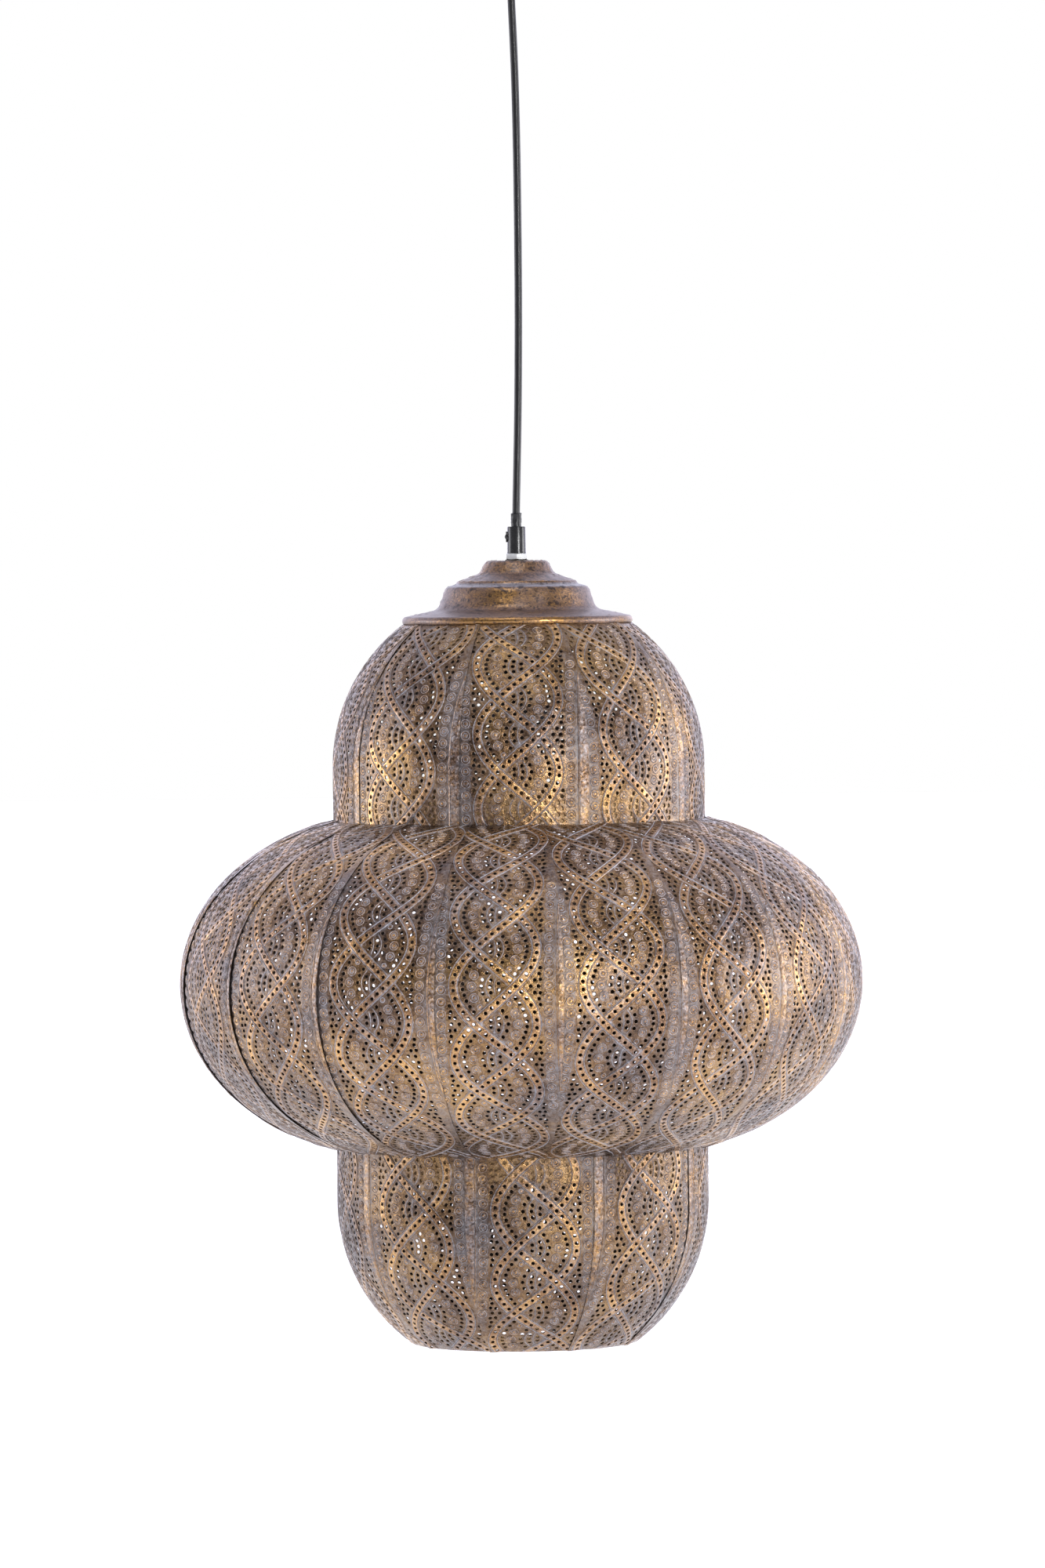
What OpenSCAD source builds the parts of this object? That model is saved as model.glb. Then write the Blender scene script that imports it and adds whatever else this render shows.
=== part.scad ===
// Hanging lantern of stamped and perforated sheet strips: bell, wide belly and open lower cup,
// under a spun cap, on a round flex from a ceiling cup. Millimetres, +Z up.
// The origin is on the ceiling, in line with the cord. Everything hangs below it.

/* [Cord] */
// Free length of cord between the ceiling grip and the lower sleeve
cord_free = 390; // [200:10:1500]
// Diameter of the round flex
cord_d = 5.6; // [5:0.1:6.5]
// Diameter of one insulated core
core_d = 2; // [1.6:0.1:2.2]

/* [Ceiling fitting] */
// Outer radius of the ceiling cup
canopy_r = 48; // [42:1:80]
// Height of the ceiling cup
canopy_h = 32; // [30:1:60]
// Sheet of the ceiling cup
canopy_t = 1; // [0.6:0.1:1.5]
// Rounding at the bottom edge of the ceiling cup
canopy_round = 8; // [4:1:12]
// Gap between the ceiling and the rim of the cup
canopy_gap = 0.5; // [0.3:0.1:2]
// Width of the ceiling strap
strap_w = 18; // [14:1:24]
// Thickness of the ceiling strap
strap_t = 2; // [1.5:0.5:3]
// Depth of the bent ears of the strap
ear_h = 14; // [12:1:16]
// Distance between the two fixing slots
slot_spacing = 56; // [50:1:60]
// Width of a fixing slot
slot_w = 4.6; // [4:0.1:5.5]
// Length of a fixing slot
slot_l = 12; // [8:1:14]
// Height of the side screws below the ceiling
side_screw_drop = 8; // [6:1:9]
// Length, width and height of the terminal block
block = [24, 15, 11];

/* [M10 fittings] */
// Outer radius of the threaded tube
tube_r = 5; // [4:0.5:6]
// Bore radius of the threaded tube
tube_bore_r = 3.6; // [3.4:0.1:3.8]
// Length of tube inside each cord grip
grip_thread = 8; // [6:1:10]
// Length of tube inside the lampholder neck
holder_thread = 8; // [6:1:10]
// Hexagon nut across flats
nut_af = 15; // [14:0.5:17]
// Height of a hexagon nut
nut_h = 4.6; // [3:0.1:6]
// Lock washer radius
washer_r = 8.3; // [8:0.1:10]
// Lock washer thickness
washer_t = 0.8; // [0.6:0.1:1.5]
// Radial gap in a threaded pair
thread_gap = 0.05; // [0.02:0.01:0.1]
// Radial gap of a clearance hole
hole_gap = 0.25; // [0.2:0.05:0.5]

/* [Cord grips] */
// Outer radius of a cord grip at its free end
grip_r = 6.6; // [6.4:0.1:8]
// Extra radius at the threaded end of a cord grip
grip_flare = 0.35; // [0:0.05:1]
// Length of a cord grip
grip_l = 19.6; // [18:0.2:26]
// Radial room around the cord in its grip and sleeve
cord_gap = 0.3; // [0.25:0.05:0.5]
// Length of the sleeve above the lower grip
sleeve_l = 9.8; // [8:0.2:20]
// Wall of the sleeve
sleeve_wall = 0.7; // [0.5:0.1:1.2]
// Radius of the clamping and side screws
screw_r = 2; // [1.5:0.25:2.25]
// Radius of the side screws' heads
screw_head_r = 3.5; // [3:0.25:4.5]
// Height of the side screws' heads
screw_head_h = 2.4; // [2:0.2:3]
// How far the clamping screw stands out of the lower grip
screw_proud = 0.9; // [0.5:0.1:2]

/* [Cap] */
// Height of the spun cap
cap_h = 47; // [44:1:60]
// Sheet of the cap
cap_t = 0.9; // [0.6:0.1:1.2]
// Radius of the flat hub at its corner
cap_hub_r = 22.5; // [20:0.5:26]
// Radius at the foot of the hub
cap_neck_r = 27.5; // [27:0.5:32]
// Radius of the shoulder
cap_shoulder_r = 52.5; // [48:0.5:54]
// Radius at the waist under the shoulder
cap_waist_r = 58; // [57:0.5:62]
// Section radius of the rolled rim
bead_r = 3.3; // [2.5:0.1:4]
// How far the rolled rim stays inside the upper end of the strips
cap_inset = 1.4; // [1:0.1:3]
// Height of the open line between the cap and the strips
cap_gap = 1; // [0.8:0.1:3]

/* [Shade] */
// Radius of the bell and of the lower cup
cup_r = 136; // [120:1:165]
// Vertical half axis of the curve of bell and cup
cup_rise = 131.6; // [105:0.1:160]
// Straight skirt of bell and cup
skirt_h = 43; // [30:1:60]
// Radius where the bell meets the cap
neck_r = 86; // [80:1:104]
// Radius of the open mouth
mouth_r = 82; // [70:1:104]
// Radius of the belly
belly_r = 250; // [210:1:310]
// Radius about which the belly's curve is centred
belly_core_r = 95; // [70:1:110]
// Vertical half axis of the belly's curve
belly_rise = 124.4; // [100:0.1:150]
// Number of strips in the bell and in the cup
cup_count = 9; // [9:1:9]
// Number of strips in the belly
belly_count = 17; // [17:1:17]

/* [Sheet joints] */
// Thickness of the strips
sheet_t = 0.8; // [0.5:0.1:1]
// Gap between a strip and the edge lapped over it
lap_gap = 0.2; // [0.1:0.05:0.4]
// Width of a lap at the widest place of its tier
lap_w = 6; // [3:0.5:8]
// Gap between neighbouring edges of two strips at the widest place
edge_gap = 0.4; // [0.3:0.1:1]
// Width of the step that joins a lap to its strip
step_w = 1.6; // [1:0.1:3]
// How far the skirts reach into the belly
tuck = 3; // [2:0.5:6]
// Gap between the skirts and the ends of the belly strips
join_gap = 0.3; // [0.2:0.05:0.6]
// Thickness of the rings inside the tiers
ring_t = 1.5; // [1:0.1:2]
// Height of a joint ring
ring_h = 20; // [14:1:30]
// Gap between a ring and the strips on it
ring_gap = 0.2; // [0.1:0.05:0.4]
// Width of the crossbar
bar_w = 18; // [14:1:24]
// Thickness of the crossbar
bar_t = 2.5; // [2:0.1:4]

/* [Lampholder] */
// Inner radius of the screw shell
shell_r = 13.4; // [13:0.1:14]
// Wall of the screw shell
shell_t = 0.5; // [0.4:0.1:0.8]
// Length of the screw shell
shell_l = 22; // [18:1:26]
// Outer radius of the lampholder
holder_r = 20; // [19.5:0.5:24]
// Wall of the lampholder cap and ring
holder_t = 2; // [1.5:0.1:2.5]
// Height of the lampholder cap under its neck
holder_cap_h = 22; // [20:1:30]
// Length of the outer ring under the cap
holder_ring_l = 25; // [24:1:32]
// Thickness of the ceramic insert
insert_h = 10; // [8:1:12]

/* [Hidden] */
$fn = 96;
STEPS_CUP = 12;
STEPS_BELLY = 26;

// Route of the cord: how far it bows to +X and +Y, and its share of the free length.
cord_route = [
    [0, 0, 0], [0.4, 0, 0.04], [1.4, 0, 0.1], [2.4, 0, 0.18], [3, 0.2, 0.27], [3.3, 0.3, 0.36],
    [3.4, 0.3, 0.45], [3.4, 0.3, 0.54], [3.2, 0.2, 0.63], [2.8, 0.2, 0.71], [2.3, 0.1, 0.79],
    [1.6, 0, 0.86], [0.9, 0, 0.92], [0.3, 0, 0.97], [0, 0, 1]
];

// Heights, from the ceiling down
z_exit = -canopy_h - grip_l;
z_sleeve = z_exit - cord_free;
z_grip = z_sleeve - sleeve_l;
z_nut = z_grip - grip_l;
z_washer = z_nut - nut_h;
z_cap = z_washer - washer_t;
z_neck = z_cap - cap_h - cap_gap;
neck_a = acos(neck_r / cup_r);
mouth_a = acos(mouth_r / cup_r);
z_skirt_up = z_neck - cup_rise * sin(neck_a) - skirt_h;
belly_end_r = cup_r + lap_gap + sheet_t * 1.5 + join_gap;
belly_a = acos((belly_end_r - belly_core_r) / (belly_r - belly_core_r));
belly_half = belly_rise * sin(belly_a);
z_belly = z_skirt_up + tuck - belly_half;
z_skirt_low = z_belly - belly_half + tuck;

// The step of a lap: how far it reaches into the sheet, and how much thinner it is each side
step_root = 1;
step_skin = 0.1;

// How far a cutting shape reaches past what it cuts, and a shank into its own head
over = 1;
sunk = 0.1;

// Where the crossbar bears on the collar under the upper ends
seat_a = neck_a - 3;
collar_a = neck_a - 8;
mouth_collar_a = mouth_a - 7;
ring_out = sheet_t + ring_gap;
seat = [cup_r * cos(seat_a), cup_rise * sin(seat_a)]
    - (ring_out + ring_t + ring_gap) * unit([cos(seat_a) / cup_r, sin(seat_a) / cup_rise]);
bar_half = seat[0];
z_bar = z_skirt_up + skirt_h + seat[1];
z_inner_nut = z_bar - bar_t;
z_holder = z_inner_nut - nut_h;
z_tube_end = z_holder - holder_thread;
neck_l = holder_thread + 1;
insert_top = z_holder - neck_l - holder_cap_h + insert_h;
contact_gap = 0.3;
contact_r = 4;
contact_tip_r = 1.6;
pocket_h = 2.6;

// Places of the cores, the ears and the screws
core_x = (cord_d - core_d) / 2 - 0.2;
core_room = 0.2;
core_top = -strap_t - block[2] / 2;
ear_gap = 1.5;
ear_x = canopy_r - canopy_t - ear_gap;
head_gap = 0.2;
bore_r = cord_d / 2 + cord_gap;
flare_r = grip_r + grip_flare;
thread_room = 0.5;
clamp_drop = 7.5;
z_clamp_top = -canopy_h - grip_l + clamp_drop;
z_clamp = z_grip - clamp_drop;
tube_proud = 1;
z_ceiling_tube = -canopy_h + canopy_t + nut_h + tube_proud;

// Angles of the strips: where a lap's free edge shows, seen from above
upper_edge = -68.3;
belly_edge = -83;
lower_edge = -68;

function unit(v) = v / norm(v);
function backwards(list) = [for (i = [len(list) - 1 : -1 : 0]) list[i]];

// Unit vector out of an outline that runs upwards, at its point i
function outward(line, i) =
    let (d = line[min(i + 1, len(line) - 1)] - line[max(i - 1, 0)])
    unit([d[1], -d[0]]);

// Outline moved out by a gap. Its two ends are cut level or upright, whichever is nearer to square.
function end_cut(n) = abs(n[0]) > abs(n[1]) ? [1 / n[0], 0] : [0, 1 / n[1]];
function beside(line, gap) =
    [for (i = [0 : len(line) - 1])
        let (n = outward(line, i))
        line[i] + gap * (i == 0 || i == len(line) - 1 ? end_cut(n) : n)];
function band(line, low, high) = concat(beside(line, high), backwards(beside(line, low)));

// Ellipse points about [x, y] from angle a to angle b
function arch(x, y, rx, ry, a, b, steps) =
    [for (i = [0 : steps]) let (t = a + (b - a) * i / steps) [x + rx * cos(t), y + ry * sin(t)]];

// Arc that rounds corner p between a and b
function rounded(a, p, b, r, steps = 6) =
    let (u = unit(a - p), v = unit(b - p), half = acos(u * v) / 2,
         c = p + unit(u + v) * r / sin(half),
         s = p + u * r / tan(half) - c, e = p + v * r / tan(half) - c,
         from = atan2(s[1], s[0]), turn = atan2(s[0] * e[1] - s[1] * e[0], s * e))
    [for (i = [0 : steps]) c + r * [cos(from + turn * i / steps), sin(from + turn * i / steps)]];

// Outer outlines of the tiers, upwards: radius and height
function cup_line(end) = concat([[cup_r, 0]], arch(0, skirt_h, cup_r, cup_rise, 0, end, STEPS_CUP));
function collar_line(start, end) = arch(0, skirt_h, cup_r, cup_rise, start, end, 3);
belly_line = arch(belly_core_r, 0, belly_r - belly_core_r, belly_rise, -belly_a, belly_a, STEPS_BELLY);

// Tube along points, with a ball-shaped end at each end
function along(route, s) =
    let (i = min(floor(s), len(route) - 2), f = s - i,
         p0 = route[max(i - 1, 0)], p1 = route[i], p2 = route[i + 1],
         p3 = route[min(i + 2, len(route) - 1)])
    p1 + 0.5 * f * ((p2 - p0) + f * ((2 * p0 - 5 * p1 + 4 * p2 - p3) + f * (3 * (p1 - p2) + p3 - p0)));
function ring_at(p, d, r, sides) =
    let (u = unit(cross(d, [0, 1, 0])), v = cross(d, u))
    [for (k = [0 : sides - 1]) p + r * (u * cos(360 * k / sides) + v * sin(360 * k / sides))];

module tube(points, radii, sides) {
    n = len(points);
    rings = [for (i = [0 : n - 1])
        ring_at(points[i], unit(points[min(i + 1, n - 1)] - points[max(i - 1, 0)]), radii[i], sides)];
    faces = [for (i = [0 : n - 2], k = [0 : sides - 1])
        let (a = i * sides + k, b = i * sides + (k + 1) % sides)
        each [[a, b, b + sides], [a, b + sides, a + sides]]];
    polyhedron(
        [for (ring = rings) each ring],
        concat(faces, [backwards([for (k = [0 : sides - 1]) k])],
               [[for (k = [0 : sides - 1]) (n - 1) * sides + k]])
    );
}

// End of the cord: its sheath, and its two cores side by side
module cord_end(sheath_from, sheath_to, core_to) {
    rod(cord_d / 2, sheath_from, sheath_to);
    for (side = [-1, 1])
        translate([side * core_x, 0, 0])
            rod(core_d / 2, sheath_to - sign(core_to - sheath_to) * core_d, core_to);
}

module rod(r, from, to) {
    translate([0, 0, min(from, to)])
        cylinder(r = r, h = abs(from - to));
}

module tubing(r, bore, from, to) {
    difference() {
        rod(r, from, to);
        rod(bore, min(from, to) - over, max(from, to) + over);
    }
}

module across(r, from, to, z) {
    translate([min(from, to), 0, z])
        rotate([0, 90, 0])
            cylinder(r = r, h = abs(from - to));
}

module hexagon_nut(top) {
    translate([0, 0, top - nut_h])
        difference() {
            rotate([0, 0, 30])
                cylinder(r = nut_af / sqrt(3), h = nut_h, $fn = 6);
            translate([0, 0, -over])
                cylinder(r = tube_r + thread_gap, h = nut_h + 2 * over);
        }
}

// Cord grip: threaded bore at z_thread, cord bore at the other end, screw hole on the -X side
module grip_body(z_thread, z_free, z_screw) {
    inward = sign(z_free - z_thread);
    difference() {
        translate([0, 0, min(z_thread, z_free)])
            cylinder(r1 = inward > 0 ? flare_r : grip_r, r2 = inward > 0 ? grip_r : flare_r, h = grip_l);
        rod(tube_r + thread_gap, z_thread - inward * over, z_thread + inward * (grip_thread + thread_room));
        rod(bore_r, z_thread, z_free + inward * over);
        across(screw_r + thread_gap, -cord_d / 2, -flare_r - over, z_screw);
    }
}

// One strip: its sheet, the step at its far edge, and the lap that lies over the next strip
module strip(line, count, widest) {
    pitch = 360 / count;
    mm = 360 / (2 * PI * widest);
    edge = edge_gap * mm;
    step = step_w * mm;
    root = step_root * mm;
    rotate([0, 0, edge])
        rotate_extrude(angle = pitch - edge - step)
            polygon(band(line, -sheet_t, 0));
    rotate([0, 0, pitch - step - root])
        rotate_extrude(angle = step + root)
            polygon(band(line, step_skin - sheet_t, lap_gap + sheet_t - step_skin));
    rotate([0, 0, pitch - step])
        rotate_extrude(angle = step + lap_w * mm)
            polygon(band(line, lap_gap, lap_gap + sheet_t));
}

// Angle of strip i, so that the free edge of its lap stands at edge + i pitches
function strip_turn(edge, widest, count, i) =
    edge - lap_w * 360 / (2 * PI * widest) + (i - 1) * 360 / count;

// ---- Ceiling fitting ----

module ceiling_strap() {
    color("silver")
        difference() {
            union() {
                translate([-ear_x, -strap_w / 2, -strap_t])
                    cube([2 * ear_x, strap_w, strap_t]);
                for (side = [-1, 1])
                    translate([side * (ear_x - strap_t / 2) - strap_t / 2, -strap_w / 2, -ear_h])
                        cube([strap_t, strap_w, ear_h]);
            }
            for (side = [-1, 1]) {
                slot_in = (slot_l - slot_w) / 2;
                translate([side * slot_spacing / 2, 0, -strap_t - over]) {
                    translate([-slot_in, -slot_w / 2, 0])
                        cube([2 * slot_in, slot_w, strap_t + 2 * over]);
                    for (end = [-1, 1])
                        translate([end * slot_in, 0, 0])
                            cylinder(r = slot_w / 2, h = strap_t + 2 * over);
                }
                across(screw_r + thread_gap, side * (ear_x - strap_t - over), side * (ear_x + over),
                       -side_screw_drop);
            }
        }
}

module canopy() {
    corner = [canopy_r, -canopy_h];
    line = concat([[tube_r + hole_gap, -canopy_h]],
                  rounded([0, -canopy_h], corner, [canopy_r, 0], canopy_round, 8),
                  [[canopy_r, -canopy_gap]]);
    color("darkgoldenrod")
        difference() {
            rotate_extrude()
                polygon(band(line, -canopy_t, 0));
            for (side = [-1, 1])
                across(screw_r + hole_gap, side * (canopy_r - canopy_t - over), side * (canopy_r + over),
                       -side_screw_drop);
        }
}

// Three alike: two through the cup's side into the ears, one that clamps the cord in its grip
module ceiling_screws() {
    cup_head = canopy_r + head_gap;
    grip_head = flare_r + head_gap;
    color("gainsboro") {
        for (side = [-1, 1]) {
            across(screw_r, side * (ear_x - strap_t), side * (cup_head + sunk), -side_screw_drop);
            across(screw_head_r, side * cup_head, side * (cup_head + screw_head_h), -side_screw_drop);
        }
        across(screw_r, -cord_d / 2 - thread_gap, -grip_head - sunk, z_clamp_top);
        across(screw_head_r, -grip_head, -grip_head - screw_head_h, z_clamp_top);
    }
}

module ceiling_tube() {
    color("goldenrod")
        tubing(tube_r, tube_bore_r, -canopy_h - grip_thread, z_ceiling_tube);
}

module ceiling_nut() {
    color("gainsboro")
        hexagon_nut(-canopy_h + canopy_t + nut_h);
}

module ceiling_grip() {
    color("dimgray")
        grip_body(-canopy_h, z_exit, z_clamp_top);
}

module terminal_block() {
    hole_r = core_d / 2 + core_room;
    foot = -strap_t - block[2];
    color("ivory")
        difference() {
            translate([-block[0] / 2, -block[1] / 2, foot])
                cube(block);
            for (side = [-1, 1]) {
                translate([side * core_x, 0, 0])
                    rod(hole_r, foot - over, core_top - core_room);
                across(hole_r, side * block[0] / 4, side * (block[0] / 2 + over), core_top);
            }
        }
}

module ceiling_tail() {
    color("black")
        cord_end(z_exit + bore_r, z_ceiling_tube, core_top - core_d / 2);
}

// ---- Cord ----

module cord() {
    ball = cord_d / 2;
    rings = 34;
    sides = 8;
    caps = [75, 50, 25];
    route = [for (p = cord_route) [p[0], p[1], z_exit - p[2] * cord_free]];
    middle = [for (i = [0 : rings]) along(route, (len(route) - 1) * i / rings)];
    points = concat([for (a = caps) [0, 0, z_exit + ball * sin(a)]], middle,
                    [for (a = backwards(caps)) [0, 0, z_sleeve - ball * sin(a)]]);
    radii = concat([for (a = caps) ball * cos(a)], [for (p = middle) ball],
                   [for (a = backwards(caps)) ball * cos(a)]);
    color("black")
        tube(points, radii, sides);
}

// ---- Lower cord grip ----

module cord_sleeve() {
    color("black")
        tubing(bore_r + sleeve_wall, bore_r, z_grip, z_sleeve);
}

module cord_grip() {
    color("black")
        grip_body(z_nut, z_grip, z_clamp);
}

module grip_screw() {
    color("black")
        across(screw_r, -cord_d / 2 - cord_gap, -grip_r - screw_proud, z_clamp);
}

// ---- Cap and its clamping ----

// Two alike: one above the cap, one under the crossbar
module tube_nuts() {
    color("gainsboro") {
        hexagon_nut(z_nut);
        hexagon_nut(z_inner_nut);
    }
}

module lock_washer() {
    color("dimgray")
        tubing(washer_r, tube_r + hole_gap, z_cap, z_washer);
}

module threaded_tube() {
    color("goldenrod")
        tubing(tube_r, tube_bore_r, z_tube_end, z_nut + grip_thread);
}

module cap() {
    bead = [neck_r - cap_inset - bead_r, -cap_h + bead_r];
    hub = [tube_r + hole_gap, 0];
    corner = [cap_hub_r, 0];
    foot = [cap_neck_r, -cap_h * 0.196];
    shoulder = [cap_shoulder_r, -cap_h * 0.404];
    waist = [cap_waist_r, -cap_h * 0.755];
    lip = bead + [0, bead_r];
    line = concat(
        [lip],
        rounded(lip, waist, shoulder, 8),
        rounded(waist, shoulder, foot, 5.5),
        rounded(shoulder, foot, corner, 5),
        rounded(foot, corner, hub, 4),
        [hub]
    );
    inner = backwards(beside(line, -cap_t));
    roll = arch(bead[0], bead[1], bead_r, bead_r, -205, 75, 20);
    color("peru")
        rotate_extrude()
            translate([0, z_cap])
                polygon(concat(roll, [for (i = [1 : len(line) - 1]) line[i]],
                               [for (i = [0 : len(inner) - 2]) inner[i]]));
}

module crossbar() {
    color("darkgoldenrod")
        difference() {
            intersection() {
                translate([-bar_half, -bar_w / 2, z_inner_nut])
                    cube([2 * bar_half, bar_w, bar_t]);
                rod(bar_half, z_inner_nut - over, z_bar + over);
            }
            rod(tube_r + hole_gap, z_inner_nut - over, z_bar + over);
        }
}

module top_collar() {
    color("darkgoldenrod")
        translate([0, 0, z_skirt_up])
            rotate_extrude()
                polygon(band(collar_line(collar_a, neck_a), -ring_out - ring_t, -ring_out));
}

// Two alike, soldered inside the skirts of the bell and of the lower cup
module joint_rings() {
    inset = 2;
    color("darkgoldenrod")
        for (low = [z_skirt_up + inset, z_skirt_low - inset - ring_h])
            tubing(cup_r - ring_out, cup_r - ring_out - ring_t, low, low + ring_h);
}

module mouth_collar() {
    color("darkgoldenrod")
        translate([0, 0, z_skirt_low])
            mirror([0, 0, 1])
                rotate_extrude()
                    polygon(band(collar_line(mouth_collar_a, mouth_a), -ring_out - ring_t, -ring_out));
}

// ---- Strips ----

module upper_strip(i) {
    color("sienna")
        translate([0, 0, z_skirt_up])
            rotate([0, 0, strip_turn(upper_edge, cup_r, cup_count, i)])
                strip(cup_line(neck_a), cup_count, cup_r);
}

module belly_strip(i) {
    color("peru")
        translate([0, 0, z_belly])
            rotate([0, 0, strip_turn(belly_edge, belly_r, belly_count, i)])
                strip(belly_line, belly_count, belly_r);
}

module lower_strip(i) {
    color("sienna")
        translate([0, 0, z_skirt_low])
            rotate([180, 0, -strip_turn(-lower_edge, cup_r, cup_count, 1 - i)])
                strip(cup_line(mouth_a), cup_count, cup_r);
}

// ---- Lampholder ----

module holder_cap() {
    shoulder = z_holder - neck_l;
    foot = shoulder - holder_cap_h;
    outer_r = holder_r - holder_t;
    inner_r = outer_r - holder_t;
    neck_wall = 3;
    round_r = 7;
    slope = 4;
    color("dimgray")
        difference() {
            union() {
                rod(tube_r + neck_wall, z_holder, shoulder - over);
                rotate_extrude()
                    polygon(concat([[0, foot], [outer_r, foot]],
                                   rounded([outer_r, foot], [outer_r, shoulder], [0, shoulder], round_r, 8),
                                   [[0, shoulder]]));
            }
            rod(tube_r + thread_gap, z_holder + over, shoulder - holder_t - over);
            rotate_extrude()
                polygon([[0, foot - over], [inner_r, foot - over], [inner_r, shoulder - holder_t - slope],
                         [inner_r - slope, shoulder - holder_t], [0, shoulder - holder_t]]);
        }
}

// Ceramic insert: two holes for the cores, and a pocket under it for the centre contact
module holder_insert() {
    color("white")
        difference() {
            rod(holder_r - 2 * holder_t - hole_gap, insert_top, insert_top - insert_h);
            rod(contact_r + hole_gap, insert_top - insert_h + pocket_h, insert_top - insert_h - over);
            for (side = [-1, 1])
                translate([side * core_x, 0, 0])
                    rod(core_d / 2 + core_room, insert_top + over, insert_top - insert_h / 2);
        }
}

// Screw shell, and the centre contact in the pocket above it
module holder_contacts() {
    foot = insert_top - insert_h;
    plate_foot = foot + pocket_h / 2;
    color("gold") {
        tubing(shell_r + shell_t, shell_r, foot - contact_gap, foot - contact_gap - shell_l);
        rod(contact_r, foot + pocket_h - contact_gap, plate_foot);
        rod(contact_tip_r, plate_foot + sunk, foot);
    }
}

module holder_ring() {
    foot = z_holder - neck_l - holder_cap_h;
    overlap = 8;
    color("dimgray")
        difference() {
            rod(holder_r, foot + overlap, foot - holder_ring_l);
            rod(holder_r - holder_t + thread_gap, foot + overlap + over, foot - thread_room);
            rod(shell_r + shell_t + hole_gap, foot, foot - holder_ring_l - over);
        }
}

module lamp_tail() {
    color("black")
        cord_end(z_sleeve - bore_r, z_tube_end, insert_top - insert_h / 2 + core_room);
}

ceiling_strap();
canopy();
ceiling_screws();
ceiling_tube();
ceiling_nut();
ceiling_grip();
terminal_block();
ceiling_tail();
cord();
cord_sleeve();
cord_grip();
grip_screw();
tube_nuts();
lock_washer();
threaded_tube();
cap();
crossbar();
top_collar();
joint_rings();
mouth_collar();
holder_cap();
holder_insert();
holder_contacts();
holder_ring();
lamp_tail();
for (i = [1 : cup_count])
    upper_strip(i);
for (i = [1 : belly_count])
    belly_strip(i);
for (i = [1 : cup_count])
    lower_strip(i);
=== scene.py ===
import math

import bpy
import numpy as np
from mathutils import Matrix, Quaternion, Vector
from mathutils.geometry import delaunay_2d_cdt


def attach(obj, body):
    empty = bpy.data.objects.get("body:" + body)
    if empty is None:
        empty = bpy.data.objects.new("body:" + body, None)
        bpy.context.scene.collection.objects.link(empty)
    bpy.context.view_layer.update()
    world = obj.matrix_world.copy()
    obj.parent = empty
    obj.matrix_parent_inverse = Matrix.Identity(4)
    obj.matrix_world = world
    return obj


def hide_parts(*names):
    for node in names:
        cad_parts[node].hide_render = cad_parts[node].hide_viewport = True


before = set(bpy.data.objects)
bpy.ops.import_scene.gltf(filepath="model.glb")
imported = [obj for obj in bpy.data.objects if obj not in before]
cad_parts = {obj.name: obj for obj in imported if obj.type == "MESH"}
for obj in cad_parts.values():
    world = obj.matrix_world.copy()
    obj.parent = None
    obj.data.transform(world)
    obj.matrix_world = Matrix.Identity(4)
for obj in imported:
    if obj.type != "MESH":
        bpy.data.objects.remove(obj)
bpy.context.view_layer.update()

MM = 0.001

# --------------------------------------
# Camera: level with the cap, a little over six metres off, with a long lens.
# The lantern hangs a hair out of plumb, so the camera is rolled to match.
# --------------------------------------
camera_place = Vector((0.0026, -6.19, -0.4747))
camera_aim = Vector((0.0026, 0, -0.6404))
bpy.ops.object.select_all(action="DESELECT")
bpy.ops.object.camera_add(location=camera_place)
camera = bpy.context.object
camera.name = "camera"
camera.rotation_mode = "QUATERNION"
roll = Quaternion((0, 0, 1), math.radians(-0.6))
camera.rotation_quaternion = (camera_aim - camera_place).to_track_quat("-Z", "Y") @ roll
camera.data.sensor_width = 36
camera.data.lens = 193.6
camera.data.clip_end = 60
bpy.context.scene.camera = camera

# --------------------------------------
# Flex cord: round two-core cord in a smooth black sheath, hanging straight under the lantern's
# weight with a faint bow left from the coil it was sold in.
# --------------------------------------
cord_radius = 2.8 * MM
cord_length = 390 * MM
cord_top = -51.6 * MM
cord_route = [
    (0, 0, 0), (0.4, 0, 0.04), (1.4, 0, 0.1), (2.4, 0, 0.18), (3, 0.2, 0.27), (3.3, 0.3, 0.36),
    (3.4, 0.3, 0.45), (3.4, 0.3, 0.54), (3.2, 0.2, 0.63), (2.8, 0.2, 0.71), (2.3, 0.1, 0.79),
    (1.6, 0, 0.86), (0.9, 0, 0.92), (0.3, 0, 0.97), (0, 0, 1),
]


def fill(tree, made, inputs):
    """Links or sets inputs of a shader node."""
    for key, value in inputs.items():
        if isinstance(value, bpy.types.NodeSocket):
            tree.links.new(value, made.inputs[key])
        else:
            made.inputs[key].default_value = value


def node(tree, kind, inputs=None, **settings):
    made = tree.nodes.new(kind)
    for key, value in settings.items():
        setattr(made, key, value)
    fill(tree, made, inputs or {})
    return made


def ramp(tree, factor, *stops):
    """A colour ramp. Each stop is a place and a colour, or a place and one number for a grey."""
    made = node(tree, "ShaderNodeValToRGB", {"Fac": factor})
    band = made.color_ramp.elements
    while len(band) < len(stops):
        band.new(0.5)
    for element, (place, colour) in zip(band, stops):
        element.position = place
        element.color = (*colour, 1) if isinstance(colour, tuple) else (colour, colour, colour, 1)
    return made.outputs["Color"]


def noise(tree, place, scale, detail, rough=0.5, **more):
    inputs = {"Vector": place, "Scale": scale, "Detail": detail, "Roughness": rough, **more}
    return node(tree, "ShaderNodeTexNoise", inputs).outputs["Fac"]


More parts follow.
